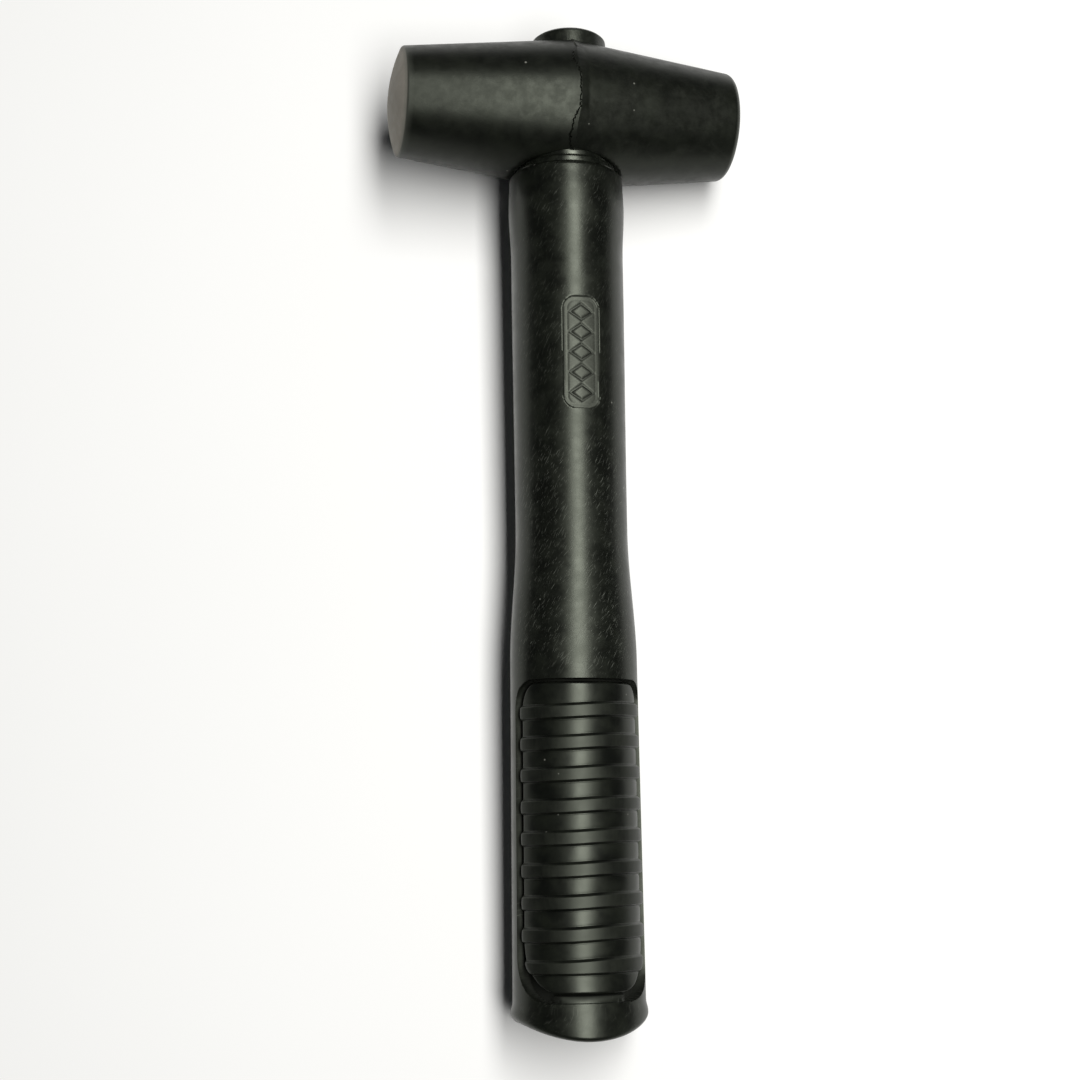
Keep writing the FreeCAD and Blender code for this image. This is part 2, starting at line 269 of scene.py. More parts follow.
def face_and_rim(side):
    """Points (x, radius) from the tip of a striking face, over its rounded rim, to the cone."""
    rounding = RIM_ROUNDING[side]
    crown_radius = (HEAD_END ** 2 + FACE_CROWN ** 2) / (2 * FACE_CROWN)
    crown_x = HEAD_HALF_LENGTH + FACE_CROWN - crown_radius
    foot = HEAD_RIDGE - SEAM_HEIGHT
    slope = math.atan2(foot - HEAD_END, HEAD_HALF_LENGTH)
    out = np.array([math.sin(slope), math.cos(slope)])
    along = np.array([math.cos(slope), -math.sin(slope)])
    start = out * (foot * math.cos(slope) - rounding)
    offset = start - np.array([crown_x, 0])
    half = float(offset @ along)
    reach = -half + math.sqrt(half ** 2 - float(offset @ offset) + (crown_radius - rounding) ** 2)
    centre = start + along * reach
    to_crown = (centre - np.array([crown_x, 0])) / (crown_radius - rounding)
    crown_end = math.atan2(to_crown[1], to_crown[0])
    cone_angle = math.atan2(out[1], out[0])
    points = [(crown_x + crown_radius * math.cos(t), crown_radius * math.sin(t))
              for t in np.linspace(0.012, crown_end, 26)]
    points += [(centre[0] + rounding * math.cos(t), centre[1] + rounding * math.sin(t))
               for t in np.linspace(crown_end, cone_angle, 9)[1:]]
    return [(side * x, r) for x, r in points]


def head_profile():
    foot = HEAD_RIDGE - SEAM_HEIGHT
    high, low = face_and_rim(-1), face_and_rim(1)[::-1]
    inner = spans((high[-1][0], -4, 1.5), (-4, -2.6, 0.3), (-2.6, 1.8, 0.11), (1.8, 4, 0.3),
                  (4, low[0][0], 1.5))[1:-1]
    fall = (foot - HEAD_END) / HEAD_HALF_LENGTH
    cone = [(x, foot - abs(x) * fall) for x in inner]
    return high + cone + low


def seam_lift(x, angle):
    """Moulding flash: one half's edge stands proud of the other's along a ragged line."""
    at = Vector((math.cos(angle), math.sin(angle), 0))
    long = max(0.0, noise.noise(at * 2.3 + Vector((0.3, 2.1, 0.4))) - 0.02)
    short = noise.noise(at * 26)
    finest = noise.noise(at * 70)
    left = SEAM_LEFT - SEAM_TEARS[0] * long - SEAM_TEARS[1] * short - SEAM_TEARS[2] * finest
    right = SEAM_RIGHT + 0.5 * noise.noise(at * 9 + Vector((0, 0, 3)))
    fall = (HEAD_RIDGE - SEAM_HEIGHT - HEAD_END) / HEAD_HALF_LENGTH
    slope = SEAM_HEIGHT * (0.95 + 0.3 * short) * np.clip((right - x) / (right - left), 0, 1)
    return (slope + 2 * fall * max(0.0, -x)) * smooth(x, left - 0.07, left + 0.07)


def add_head_masks(piece):
    """Marks the high face (partly dust, partly a painted reflection), the rims (a painted highlight) and the
    duller low cone.
    """
    x, y, z = mallet_points(piece).T
    radius = np.hypot(y, z)
    corner = HEAD_HALF_LENGTH - HEAD_END
    beyond = np.abs(x) - HEAD_HALF_LENGTH
    # the high face is painted pale grey: partly dust, partly a painted reflection of the pale floor
    add_mask(piece, "face", smooth(-x, HEAD_HALF_LENGTH - 0.2, HEAD_HALF_LENGTH + 0.35))
    # painted highlight: this mask lightens the rounded rims of the faces
    rim = smooth(np.abs(x) - radius, corner - 1.1, corner - 0.2) * (1 - smooth(beyond, 0.3, 0.8))
    add_mask(piece, "rim", rim)
    add_mask(piece, "dull", smooth(x, 0.6, 2.2))


def head_block():
    angles = np.linspace(0, 2 * math.pi, 420, endpoint=False)
    profile = head_profile()
    rings = ring_points(profile, angles, "X")
    outward = np.stack([0 * angles, -np.cos(angles), np.sin(angles)], 1)
    for i, (x, radius) in enumerate(profile):
        if abs(x) < SEAM_ROWS:
            lift = np.array([seam_lift(x, angle) for angle in angles])
            rings[i] += outward * np.minimum(lift, HEAD_RIDGE - 0.02 - radius)[:, None]
    u = np.append(angles, 2 * math.pi) * HEAD_RIDGE
    v = np.concatenate([[0], np.cumsum(np.hypot(*np.diff(np.array(profile), axis=0).T))])
    piece = new_piece("mallet_head", *lathe(rings, (u, v)))
    reach = 2 * HEAD_RIDGE
    cut_round(piece, (-reach, reach), EYE_RADIUS)
    cut_round(piece, (-reach, -SEAT_DEPTH), FLANGE_SEAT_RADIUS)
    cut_round(piece, (-reach, -FLANGE[1]), RING[2] + RING_CLEARANCE)
    cut_round(piece, (WASHER_FLOOR, reach), WASHER_RECESS_RADIUS)
    cut_round(piece, (CAP_FLOOR, reach), CAP_RADIUS + CAP_CLEARANCE, (CAP_OFFSET, 0, 0))
    cut_round(piece, (-reach, reach), SADDLE_RADIUS, (0, 0, -SADDLE_TOP - SADDLE_RADIUS), "Y")
    add_head_masks(piece)
    return piece


def cut_round(piece, reach, radius, shift=(0, 0, 0), axis="Z"):
    """Cuts a round hole out of a piece, along the handle or from front to back."""
    angles = np.linspace(0, 2 * math.pi, 240, endpoint=False)
    low, high = reach
    rings = ring_points([(high, 0.01), (high, radius), (low, radius), (low, 0.01)], angles, "Z")
    if axis == "Y":
        rings = np.stack([rings[:, :, 0], rings[:, :, 2], -rings[:, :, 1]], 2)
    cutter = new_piece("cutter", *lathe(rings + np.array(shift), (np.zeros(241), np.zeros(4))))
    cut = piece.modifiers.new("cut", "BOOLEAN")
    cut.operation = "DIFFERENCE"
    cut.solver = "MANIFOLD"
    cut.object = cutter
    apply_modifiers(piece)
    bpy.data.objects.remove(cutter)
    piece.data.set_sharp_from_angle(angle=math.radians(38))


def apply_modifiers(piece):
    bpy.context.view_layer.update()
    made = bpy.data.meshes.new_from_object(piece.evaluated_get(bpy.context.evaluated_depsgraph_get()))
    piece.modifiers.clear()
    piece.data = made


# ---------------------------------------------------------------- handle

def section_sizes(below):
    """Half width and half depth of the handle at each distance below the head's centre."""
    below = np.asarray(below, float)
    stops = [RIM_SECTION, COLLAR_SECTION, NECK_SECTION, WAIST_SECTION, GRIP_SECTION,
             GRIP_END_SECTION, BUTT_SECTION]
    width = np.full_like(below, stops[0][1])
    depth = np.full_like(below, stops[0][2])
    for start, end in zip(stops, stops[1:]):
        straight = np.clip((below - start[0]) / (end[0] - start[0]), 0, 1)
        share = straight if start is GRIP_SECTION else straight ** 2 * (3 - 2 * straight)
        width += (end[1] - start[1]) * share
        depth += (end[2] - start[2]) * share
    return width, depth


def oval(below, angle, inset):
    """Points on the handle: angle 0 faces the label side, and inset is measured inwards."""
    width, depth = section_sizes(below)
    x, y = width * np.sin(angle), -depth * np.cos(angle)
    nx, ny = depth * np.sin(angle), -width * np.cos(angle)
    length = np.maximum(np.hypot(nx, ny), 1e-6)
    return x - inset * nx / length, y - inset * ny / length


def panel_distance(across, below, top, bottom, half_width, corners):
    """How far inside a rounded panel a point is (negative outside); corners: top, bottom."""
    corner = np.where(below < (top + bottom) / 2, corners[0], corners[1])
    qx = np.abs(across) - half_width + corner
    qs = np.abs(below - (top + bottom) / 2) - (bottom - top) / 2 + corner
    outside = np.hypot(np.maximum(qx, 0), np.maximum(qs, 0)) + np.minimum(np.maximum(qx, qs), 0)
    return corner - outside


def label_distance(x, below):
    half = LABEL_LENGTH / 2
    return panel_distance(x, below, LABEL_CENTRE - half, LABEL_CENTRE + half, LABEL_WIDTH / 2,
                          (LABEL_CORNER, LABEL_CORNER))


def mark_lines(x, below):
    """1 on the outlines of a row of lozenges in the label, 0 off them."""
    lines = np.zeros_like(x)
    to_distance = MARK_HALF_WIDTH * MARK_HALF_HEIGHT / math.hypot(MARK_HALF_WIDTH, MARK_HALF_HEIGHT)
    for i in range(MARK_COUNT):
        centre = LABEL_CENTRE + (i - (MARK_COUNT - 1) / 2) * MARK_PITCH
        ring = np.abs(x) / MARK_HALF_WIDTH + np.abs(below - centre) / MARK_HALF_HEIGHT - 1
        away = np.abs(ring) * to_distance
        lines = np.maximum(lines, 1 - smooth(away, MARK_LINE * 0.5, MARK_LINE * 1.25))
    return lines


def label_cut(x, below):
    inside = label_distance(x, below)
    border = smooth(inside, 0.9, 1.15) * (1 - smooth(inside, 1.35, 1.6))
    return LABEL_DEPTH * smooth(inside, 0, 0.3) + 0.1 * border + MARK_CUT * mark_lines(x, below)


def recess_distance(arc, below):
    half = SURFACE_RADIUS * math.acos((INSERT_SIDE_LINE - GROOVE_SIDE) / GRIP_SECTION[2])
    return panel_distance(arc, below, INSERT_TOP - GROOVE_TOP, INSERT_BOTTOM + GROOVE_BOTTOM, half,
                          RECESS_CORNERS)


def snap_to_recess(arc, below):
    """Moves grid points that are near the recess's edge onto its rim or onto its foot."""
    inside = recess_distance(arc, below)
    step = 1e-3
    slope_arc = (recess_distance(arc + step, below) - inside) / step
    slope_below = (recess_distance(arc, below + step) - inside) / step
    rim = (inside > -0.28) & (inside <= 0.12)
    foot = (inside > 0.12) & (inside < 0.42)
    move = np.where(rim, -inside, np.where(foot, RECESS_WALL - inside, 0))
    return arc + move * slope_arc, below + move * slope_below


def recess_cut(arc, below):
    """Depth of the recesses that hold the grip inserts; it is shallow below an insert's middle."""
    inside = recess_distance(arc, below)
    depth = INSERT_THICKNESS * smooth(inside, 0.005, RECESS_WALL)
    middle = 1 - smooth(np.abs(arc), *SHALLOW_MIDDLE)
    ramp = smooth(below, INSERT_BOTTOM - 0.1, INSERT_BOTTOM + 0.3) * middle
    shallow = SHALLOW_DEPTH + SHALLOW_FALL * (INSERT_BOTTOM + GROOVE_BOTTOM - below)
    return depth * (1 - ramp) + np.minimum(depth, np.maximum(shallow, SHALLOW_DEPTH)) * ramp


def handle_angles():
    """Angles round the handle, closer together at the label and round the recesses' edges."""
    label = math.degrees(math.asin(LABEL_WIDTH / 2 / NECK_SECTION[1])) + 1.5
    front = spans((0, label, 0.95), (label, 84, 1.12), (84, 90, 2))
    back = spans((90, 96, 2), (96, 160, 1.12), (160, 180, 2.2))
    right = np.concatenate([front[:-1], back])
    return np.radians(np.concatenate([right, 360 - right[::-1][1:-1]]))


def arch_drop(x):
    """How much higher the arched end of the butt is at x than in its middle."""
    return BUTT_ARCH_RADIUS - np.sqrt(BUTT_ARCH_RADIUS ** 2 - x ** 2)


def butt_rings(start, angles):
    """Rings from the flare down to the butt's end, round its edge and across its arched face."""
    width, depth = BUTT_SECTION[1:]
    x, y = width * np.sin(angles), -depth * np.cos(angles)
    nx, ny = depth * np.sin(angles), -width * np.cos(angles)
    length = np.hypot(nx, ny)
    nx, ny = nx / length, ny / length
    rings = []
    foot = BUTT_END - arch_drop(x) - BUTT_ROUNDING
    for share in (0.25, 0.5, 0.75):
        s = start + (foot - start) * share
        px, py = oval(s, angles, 0)
        rings.append(np.stack([px, py, -s], 1))
    for turn in np.radians(spans((0, 90, 15))):
        inward = BUTT_ROUNDING * (1 - math.cos(turn))
        px, py = x - nx * inward, y - ny * inward
        s = BUTT_END - arch_drop(px) - BUTT_ROUNDING * (1 - math.sin(turn))
        rings.append(np.stack([px, py, -s], 1))
    for scale in BUTT_RING_SCALES:
        s = BUTT_END - arch_drop(px * scale)
        rings.append(np.stack([px * scale, py * scale, -s], 1))
    return np.array(rings)


def jacket_rows():
    """Distances below the head's centre, closer together where the surface has detail."""
    top, rim_end = RIM_SECTION[0], RIM_SECTION[0] + RIM_EDGE
    return spans((top, rim_end, 0.13), (rim_end, 60, 1.1), (60, 95.3, 0.31), (95.3, 168, 1.6),
                 (168, 179, 0.4), (179, 241, 1.7), (241, JACKET_WALL_END, 0.42))


def rim_cut(below):
    """How far the jacket's rounded top edge lies inside its wall."""
    from_rim = np.clip(RIM_EDGE - (below - RIM_SECTION[0]), 0, RIM_EDGE)
    return RIM_EDGE - np.sqrt(RIM_EDGE ** 2 - from_rim ** 2)


def handle_jacket():
    below, angles = jacket_rows(), handle_angles()
    s, t = np.meshgrid(below, angles, indexing="ij")
    front = np.cos(t) > 0
    turn = np.where(t > math.pi, t - 2 * math.pi, t)
    arc = np.where(front, turn, t - math.pi) * SURFACE_RADIUS
    near = (s > INSERT_TOP - 4) & (s < INSERT_BOTTOM + 4)
    moved_arc, moved_s = snap_to_recess(arc, s)
    arc, s = np.where(near, moved_arc, arc), np.where(near, moved_s, s)
    t = arc / SURFACE_RADIUS + np.where(front, 0, math.pi)
    x = oval(s, t, 0)[0]
    in_label = front & (np.abs(s - LABEL_CENTRE) < LABEL_LENGTH)
    recess = np.where(near, recess_cut(arc, s), 0)
    px, py = oval(s, t, np.where(in_label, label_cut(x, s), 0) + recess + rim_cut(s))
    outer = np.stack([px, py, -s], 2)
    bore_heights = [-CORE_CAVITY_END, -200, -100, -RIM_SECTION[0]]
    bore = ring_points([(z, CORE_RADIUS) for z in bore_heights], angles, "Z")
    lip = (bore[-1] + outer[0]) / 2
    end = butt_rings(JACKET_WALL_END, angles)
    u = np.append(angles, 2 * math.pi) * GRIP_SECTION[1]
    end_v = np.linspace(-JACKET_WALL_END, -285, len(end))
    v = np.concatenate([bore_heights, [-RIM_SECTION[0]], -below, end_v])
    piece = new_piece("jacket", *lathe(np.concatenate([bore, lip[None], outer, end]), (u, v)))
    masks = {
        "label": smooth(np.where(in_label, label_distance(x, s), -9), 0.1, 0.35),
        "mark": np.where(in_label, mark_lines(x, s), 0),
        # painted shade: the recess walls round the grip inserts are painted near black
        "groove_shade": smooth(recess / INSERT_THICKNESS, 0.12, 0.3),
        "handled": smooth(s, *HANDLED_TOP) * smooth(-s, -INSERT_TOP, -HANDLED_END),
    }
    skip, tail = len(bore_heights) + 1, len(end)
    for name, values in masks.items():
        add_mask(piece, name, on_rings(values, skip, tail))
    return piece


def on_rings(values, skip, tail):
    """Ring values padded with zeros for the rings above and below them and the two end points."""
    columns = values.shape[1]
    return np.concatenate([np.zeros(skip * columns), values.ravel(), np.zeros(tail * columns + 2)])


def rib_profile(below):
    """Height above the valleys, as a share of a rib's: a soft upper side, a steep lower side."""
    height = np.zeros_like(below)
    half = RIB_BAND / 2
    for i in range(RIB_COUNT):
        off = below - FIRST_RIB - i * RIB_PITCH
        height += smooth(off, -half - 0.55, -half + 0.4) * (1 - smooth(off, half - 0.35, half + 0.4))
        height -= 0.16 * np.exp(-((off - half - 0.5) / 0.22) ** 2)
        height -= 0.08 * np.exp(-((off + half + 0.62) / 0.22) ** 2)
    return height


def rib_wave(below):
    """1 at the middle of a rib and 0 half way between ribs, for the scalloped side edges."""
    wave = np.zeros_like(below)
    for i in range(RIB_COUNT):
        off = np.abs(below - FIRST_RIB - i * RIB_PITCH)
        wave += np.cos(np.clip(off / 3.4, 0, 1) * math.pi / 2) ** 2
    return wave


def insert_rows():
    rows = [(INSERT_TOP, INSERT_TOP + 1.2, 0.15)]
    for i in range(RIB_COUNT):
        for side in (-1, 1):
            edge = FIRST_RIB + i * RIB_PITCH + side * RIB_BAND / 2
            rows.append((rows[-1][1], edge - 0.9, 0.62))
            rows.append((edge - 0.9, edge + 0.9, 0.13))
    rows.append((rows[-1][1], INSERT_BOTTOM - 1.2, 0.5))
    rows.append((INSERT_BOTTOM - 1.2, INSERT_BOTTOM, 0.15))
    return spans(*rows)


def insert_half_arc(below):
    """Half of an insert's width round the handle, with its rounded corners and scalloped sides."""
    half = SURFACE_RADIUS * math.acos(INSERT_SIDE_LINE / GRIP_SECTION[2])
    top, bottom = INSERT_CORNERS
    high = np.clip(top - (below - INSERT_TOP), 0, top)
    low = np.clip(bottom - (INSERT_BOTTOM - below), 0, bottom)
    narrowing = top - np.sqrt(top ** 2 - high ** 2) + bottom - np.sqrt(bottom ** 2 - low ** 2)
    return half - SIDE_WAVE - narrowing + SIDE_WAVE * rib_wave(below)


def insert_shares():
    """Places across an insert, from -1 at one side to 1 at the other, close together at both."""
    edge = 1 - np.cos(np.radians(spans((0, 90, 13))))
    middle = spans((-0.93, 0.93, 0.032))[1:-1]
    return np.concatenate([-1 + 0.07 * edge, middle, 1 - 0.07 * edge[::-1]])


def insert_inset(below, from_side, ribs):
    """How far an insert's outer sheet lies inside the handle's oval."""
    from_end = np.minimum(below - INSERT_TOP, INSERT_BOTTOM - below)[:, None]
    dip = np.clip(INSERT_EDGE - np.minimum(from_side, from_end), 0, INSERT_EDGE)
    valley = RIB_HEIGHT - INSERT_LOW_RISE * smooth(below, *INSERT_LOW_RUN)
    pillow = INSERT_PILLOW * np.sin(math.pi * (below - FIRST_RIB) / RIB_PITCH) ** 2
    rib_ends = smooth(from_side, -0.8, 1.7)
    inset = valley[:, None] * (1 - ribs[:, None] * rib_ends) - pillow[:, None]
    return np.maximum(inset + INSERT_EDGE - np.sqrt(INSERT_EDGE ** 2 - dip ** 2), 0)


def sheets_joined(rows, columns):
    """Faces of two grids of points, outer then inner, and of the strips that join their edges."""
    back = rows * columns
    faces = []
    for i in range(rows - 1):
        for j in range(columns - 1):
            a, b = i * columns + j, (i + 1) * columns + j
            faces.append((a, b, b + 1, a + 1))
            faces.append((back + a + 1, back + b + 1, back + b, back + a))
        a, b = i * columns, (i + 1) * columns
        faces.append((b, a, back + a, back + b))
        a, b = a + columns - 1, b + columns - 1
        faces.append((a, b, back + b, back + a))
    for j in range(columns - 1):
        faces.append((j, j + 1, back + j + 1, back + j))
        a = (rows - 1) * columns + j
        faces.append((a + 1, a, back + a, back + a + 1))
    return faces


def grip_insert(name, turn):
    """A ribbed insert: turn is 1 for the front one and -1 for the back one."""
    below = insert_rows()
    ribs = rib_profile(below)
    half = insert_half_arc(below) / SURFACE_RADIUS
    t = half[:, None] * insert_shares()[None, :]
    window = smooth(below, INSERT_TOP + 1, INSERT_TOP + 6)
    window = window * smooth(-below, 4 - INSERT_BOTTOM, 9 - INSERT_BOTTOM)
    slant = -RIB_SLANT * np.tanh(t * SURFACE_RADIUS / RIB_SLANT_REACH) * turn
    s = below[:, None] + slant * window[:, None]
    from_side = (half[:, None] - np.abs(t)) * SURFACE_RADIUS
    outer = np.stack([*oval(s, t, insert_inset(below, from_side, ribs)), -s], 2)
    inner = np.stack([*oval(s, t, INSERT_THICKNESS - 0.02), -s], 2)
    points = np.concatenate([outer.reshape(-1, 3), inner.reshape(-1, 3)]) * (turn, turn, 1)
    faces = sheets_joined(*t.shape)
    surface = np.stack([t * GRIP_SECTION[1], -below[:, None] * np.ones_like(t)], 2).reshape(-1, 2)
    corners = surface[np.array(faces).ravel() % len(surface)]
    piece = new_piece(name, points, faces, corners)
    on_rib = (np.clip(ribs, 0, 1)[:, None] * np.ones_like(t)).ravel()
    add_mask(piece, "rib", np.concatenate([on_rib, 0 * on_rib]))
    # painted shade: this mask paints the insert's sides and underside near black
    add_mask(piece, "side", np.concatenate([0 * on_rib, 1 + 0 * on_rib]))
    return piece


# ---------------------------------------------------------------- cap and rings

def rounded_corner(before, corner, after, radius, count=6):
    """Arc points that round a corner of a profile."""
    p, q, r = np.array(before, float), np.array(corner, float), np.array(after, float)
    to_p, to_r = (p - q) / np.linalg.norm(p - q), (r - q) / np.linalg.norm(r - q)
    half = math.acos(np.clip(to_p @ to_r, -1, 1)) / 2
    start, end = q + to_p * radius / math.tan(half), q + to_r * radius / math.tan(half)
    centre = q + (to_p + to_r) / np.linalg.norm(to_p + to_r) * radius / math.sin(half)
    points = []
    for share in np.linspace(0, 1, count):
        point = start + (end - start) * share
        away = (point - centre) / np.linalg.norm(point - centre)
        points.append(tuple(centre + away * radius))
    return points


def turned_piece(name, profile, shift=(0, 0, 0), columns=160):
    """A solid turned about the handle's axis. A profile that ends where it starts makes a ring."""
    angles = np.linspace(0, 2 * math.pi, columns, endpoint=False)
    rings = ring_points(profile, angles, "Z") + np.array(shift)
    v = np.concatenate([[0], np.cumsum(np.hypot(*np.diff(np.array(profile), axis=0).T))])
    u = np.append(angles, 2 * math.pi) * CAP_RADIUS
    points, faces, corners = lathe(rings, (u, v))
    if profile[0] == profile[-1]:
        count = (len(profile) - 1) * columns
        faces = [tuple(index % count for index in face) for face in faces[:count]]
        points, corners = points[:count], corners[:4 * count]
    return new_piece(name, points, faces, corners)


def rounded_profile(outline, roundings):
    """A profile of (height, radius) corners, each but the first and last rounded."""
    profile = [outline[0]]
    for i, radius in enumerate(roundings):
        profile += rounded_corner(outline[i], outline[i + 1], outline[i + 2], radius)
    return profile + [outline[-1]]


def top_cap():
    """A domed cap; its hollow is turned about the screw's axis, so it is cut out afterwards."""
    shoulder = CAP_RADIUS - CAP_FLAT_RADIUS
    low = CAP_TOP - CAP_DOME
    dome = []
    for turn in np.radians(spans((8, 90, 6))):
        rise, reach = math.sin(turn) ** DOME_POWER, math.cos(turn) ** DOME_POWER
        dome.append((low + CAP_DOME * rise, CAP_FLAT_RADIUS + shoulder * reach))
    profile = [(CAP_FLOOR, 0.02), (CAP_FLOOR, CAP_RADIUS - 0.2), (CAP_FLOOR + 0.2, CAP_RADIUS)]
    profile += [(low - 0.3, CAP_RADIUS), (low, CAP_RADIUS - 0.02)] + dome
    profile += [(CAP_TOP, CAP_FLAT_RADIUS / 2), (CAP_TOP, 0.02)]
    piece = turned_piece("cap", profile, (CAP_OFFSET, 0, 0))
    cut_round(piece, (CAP_FLOOR - 2, CAP_INSIDE), CAP_HOLLOW_RADIUS)
    return piece


def eye_bush():
    top, bottom, radius = FLANGE
    outline = [(WASHER_FLOOR, CORE_RADIUS), (WASHER_FLOOR, BUSH_SLEEVE), (-top, BUSH_SLEEVE), (-top, radius),
               (-bottom, radius), (-bottom, CORE_RADIUS)]
    profile = rounded_profile(outline, [0.2, 0.2, 0.5, 0.75])
    return turned_piece("bush", profile + [outline[0]])


def seat_ring():
    top, bottom, radius = RING
    outline = [(-top, CORE_RADIUS), (-top, radius), (-bottom, radius), (-bottom, CORE_RADIUS)]
    return turned_piece("ring", rounded_profile(outline, [0.75, 0.6]) + [outline[0]])


# ---------------------------------------------------------------- materials

class Finish:
    """One procedural material, built node by node."""

    def __init__(self, name, roughness=0.4, metallic=0.0, specular=0.4, tint=(1, 1, 1, 1)):
        self.material = bpy.data.materials.new(name)
        self.material.use_nodes = True
        self.tree = self.material.node_tree
        self.shader = self.tree.nodes["Principled BSDF"]
        self.shader.inputs["Roughness"].default_value = roughness
        self.shader.inputs["Metallic"].default_value = metallic
        self.shader.inputs["Specular IOR Level"].default_value = specular
        self.shader.inputs["Specular Tint"].default_value = tint
        self.height = None

    def node(self, kind, **settings):
        made = self.tree.nodes.new(kind)
        for key, value in settings.items():
            setattr(made, key, value)
        return made

    def put(self, socket, value):
        if isinstance(value, bpy.types.NodeSocket):
            self.tree.links.new(value, socket)
        else:
            socket.default_value = value

    def coordinates(self, source="Object", scale=(1, 1, 1), rotation=(0, 0, 0), location=(0, 0, 0)):
        """Object coordinates in millimetres, or the surface's own (round, along) in millimetres."""
        if source == "Object":
            origin = self.node("ShaderNodeTexCoord").outputs["Object"]
            scale = tuple(value / MM for value in scale)
        else:
            origin = self.node("ShaderNodeUVMap", uv_map="surface").outputs["UV"]
        mapping = self.node("ShaderNodeMapping", vector_type="POINT")
        self.put(mapping.inputs["Vector"], origin)
        mapping.inputs["Location"].default_value = location
        mapping.inputs["Rotation"].default_value = tuple(math.radians(value) for value in rotation)
        mapping.inputs["Scale"].default_value = scale
        return mapping.outputs["Vector"]

    def mask(self, name):
        return self.node("ShaderNodeAttribute", attribute_name=name).outputs["Fac"]

    def turned(self, vector, degrees, scale):
        """Surface coordinates turned in their plane and then stretched."""
        turn = self.node("ShaderNodeMapping")
        self.put(turn.inputs["Vector"], vector)
        turn.inputs["Rotation"].default_value = (0, 0, math.radians(degrees))
        stretch = self.node("ShaderNodeMapping")
        self.put(stretch.inputs["Vector"], turn.outputs["Vector"])
        stretch.inputs["Scale"].default_value = scale
        return stretch.outputs["Vector"]

    def noise(self, vector, scale, detail=3.0, roughness=0.5, distortion=0.0):
        texture = self.node("ShaderNodeTexNoise")
        self.put(texture.inputs["Vector"], vector)
        texture.inputs["Scale"].default_value = scale
        texture.inputs["Detail"].default_value = detail
        texture.inputs["Roughness"].default_value = roughness
        texture.inputs["Distortion"].default_value = distortion
        return texture.outputs["Fac"]

    def remap(self, value, low, high, to_low=0.0, to_high=1.0):
        node = self.node("ShaderNodeMapRange", interpolation_type="SMOOTHSTEP")
        self.put(node.inputs["Value"], value)
        for key, number in (("From Min", low), ("From Max", high), ("To Min", to_low), ("To Max", to_high)):
            node.inputs[key].default_value = number
        return node.outputs["Result"]

    def math(self, operation, a, b=0.0):
        node = self.node("ShaderNodeMath", operation=operation)
        self.put(node.inputs[0], a)
        self.put(node.inputs[1], b)
        return node.outputs[0]

    def mix(self, share, a, b):
        node = self.node("ShaderNodeMix", data_type="RGBA")
        self.put(node.inputs[0], share)
        self.put(node.inputs[6], a)
        self.put(node.inputs[7], b)
        return node.outputs[2]

    def bump(self, height, strength, distance):
        """Adds one layer of relief, its distance in millimetres."""
        node = self.node("ShaderNodeBump")
        node.inputs["Strength"].default_value = strength
        node.inputs["Distance"].default_value = distance * MM
        self.put(node.inputs["Height"], height)
        if self.height is not None:
            self.put(node.inputs["Normal"], self.height)
        self.height = node.outputs["Normal"]

    def finish(self, colour, roughness=None):
        self.put(self.shader.inputs["Base Color"], colour)
        if roughness is not None:
            self.put(self.shader.inputs["Roughness"], roughness)
        if self.height is not None:
            self.put(self.shader.inputs["Normal"], self.height)
        return self.material


def hairlines(finish, surface, degrees, width, length, amount, seed):
    """Fine scratches: stretched noise cut at its peaks. A larger amount leaves more of them."""
    vector = finish.turned(surface, degrees, (1 / width, 1 / length, 1))
    shifted = finish.node("ShaderNodeMapping")
    finish.put(shifted.inputs["Vector"], vector)
    shifted.inputs["Location"].default_value = (seed, seed * 1.7, seed * 0.3)
    peaks = finish.noise(shifted.outputs["Vector"], 1.0, 1.0, 0.5)
    edge = 0.74 - amount
    return finish.remap(peaks, edge, edge + 0.07)


def specks(finish, scale, amount):
    """Scattered dust specks: the middles of a few of a cell pattern's cells."""
    cells = finish.node("ShaderNodeTexVoronoi", feature="F1")
    finish.put(cells.inputs["Vector"], finish.coordinates())
    cells.inputs["Scale"].default_value = scale
    shade = finish.node("ShaderNodeSeparateColor")
    finish.put(shade.inputs[0], cells.outputs["Color"])
    chosen = finish.math("LESS_THAN", shade.outputs[0], amount)
    near = finish.remap(cells.outputs["Distance"], 0.04, 0.10, 1.0, 0.0)
    return finish.math("MULTIPLY", chosen, near)


BLACK = (0.0028, 0.0032, 0.0025, 1)
OLIVE = (0.0062, 0.0072, 0.0052, 1)
CHALK = (0.016, 0.0175, 0.0140, 1)
# Light grey for the jacket's scratches, and a painted highlight along the head's rims
SCRATCH_AND_HIGHLIGHT = (0.085, 0.090, 0.078, 1)
DUST = (0.26, 0.26, 0.23, 1)
# Pale grey for the high face: partly dust, partly a painted reflection
FACE_DUST_AND_REFLECTION = (0.31, 0.285, 0.245, 1)
LABEL_GREY = (0.046, 0.049, 0.041, 1)
# Near black for the cut outlines of the label's marks, and painted shade in the recesses and on the inserts'
# sides
PIT_AND_SHADE = (0.0012, 0.0013, 0.0012, 1)
OLIVE_GLOSS = (0.93, 1.0, 0.84, 1)


